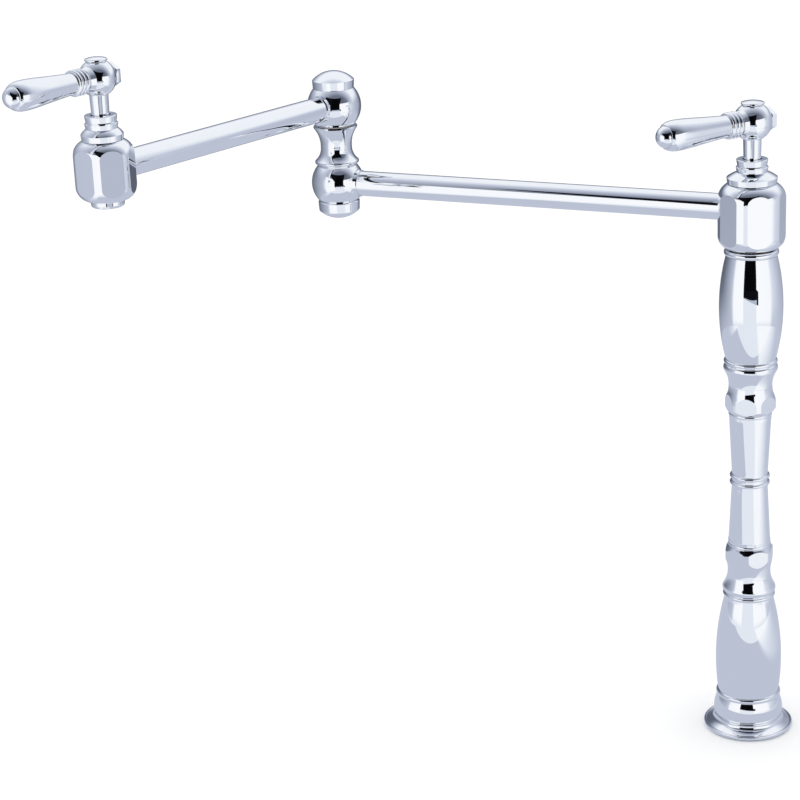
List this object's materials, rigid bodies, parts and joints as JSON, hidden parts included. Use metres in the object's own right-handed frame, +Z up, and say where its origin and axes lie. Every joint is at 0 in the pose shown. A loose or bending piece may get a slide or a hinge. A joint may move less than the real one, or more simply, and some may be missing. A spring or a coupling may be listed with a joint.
{
  "type": "deck mount pot filler",
  "caption": "Tall deck-mounted pot filler tap: turned column, double-jointed swivel arm with a shut-off valve and lever at each end, aerator spout under the outer valve.",
  "frame": {"origin": "centre of the underside of the flange's gasket, on the deck", "axes": "+Z up along the column; at rest the lower arm points along -X from the column and the upper arm points forward, 13 degrees off -Y towards -X"},
  "size_m": [0.4422, 0.3539, 0.6356],
  "materials": {
    "chrome": "polished",
    "brass": "as turned",
    "rubber": "matt",
    "ceramic": "lapped white ceramic",
    "nylon": "moulded nylon",
    "steel": "zinc plated"
  },
  "bodies": {
    "column": {"deck_flange": "chrome", "flange_gasket": "rubber", "base_collar": "chrome", "lower_vase": "chrome", "lower_knuckle": "chrome", "centre_spindle": "chrome", "upper_knuckle": "chrome", "upper_vase": "chrome", "top_ring": "chrome", "mounting_shank": "brass", "core_tube": "brass", "column_post": "brass", "column_post_rings": "rubber", "column_thrust_washer": "nylon", "column_post_nut": "brass", "inlet_nipple": "brass", "deck_rubber_washer": "rubber", "deck_steel_washer": "steel", "lock_nut": "brass"},
    "lower_arm": {"column_valve_body": "chrome", "column_valve_seat": "brass", "column_cartridge_housing": "brass", "column_fixed_disc": "ceramic", "column_bonnet": "chrome", "column_bonnet_nut": "chrome", "lower_arm_tube": "chrome", "elbow_lower_ball": "chrome", "elbow_spool": "chrome", "elbow_bottom_cap": "chrome", "elbow_post": "brass", "elbow_post_rings": "rubber", "elbow_thrust_washer": "nylon", "elbow_post_nut": "brass"},
    "upper_arm": {"elbow_upper_ball": "chrome", "elbow_upper_bush": "nylon", "elbow_top_cap": "chrome", "upper_arm_tube": "chrome", "outlet_valve_body": "chrome", "outlet_valve_seat": "brass", "outlet_cartridge_housing": "brass", "outlet_fixed_disc": "ceramic", "outlet_bonnet": "chrome", "outlet_bonnet_nut": "chrome", "aerator_ring": "chrome", "aerator_insert": "nylon"},
    "column_lever": {"column_lever_hub": "chrome", "column_lever_handle": "chrome", "column_lever_plug": "chrome", "column_lever_button": "chrome", "column_lever_screw": "steel", "column_cartridge_stem": "brass", "column_turning_disc": "ceramic"},
    "outlet_lever": {"outlet_lever_hub": "chrome", "outlet_lever_handle": "chrome", "outlet_lever_plug": "chrome", "outlet_lever_button": "chrome", "outlet_lever_screw": "steel", "outlet_cartridge_stem": "brass", "outlet_turning_disc": "ceramic"}
  },
  "joints": [
    {"name": "base_swivel", "type": "hinge", "parent": "column", "child": "lower_arm", "pos_m": [0, 0, 0.375], "axis": [0, 0, 1], "continuous": true},
    {"name": "elbow_swivel", "type": "hinge", "parent": "lower_arm", "child": "upper_arm", "pos_m": [-0.328, 0, 0.449], "axis": [0, 0, 1], "continuous": true},
    {"name": "column_lever_turn", "type": "hinge", "parent": "lower_arm", "child": "column_lever", "pos_m": [0, 0, 0.437], "axis": [0, 0, 1], "range_deg": [0, 90]},
    {"name": "outlet_lever_turn", "type": "hinge", "parent": "upper_arm", "child": "outlet_lever", "pos_m": [-0.38322, -0.23921, 0.498], "axis": [0, 0, 1], "range_deg": [0, 90]}
  ]
}
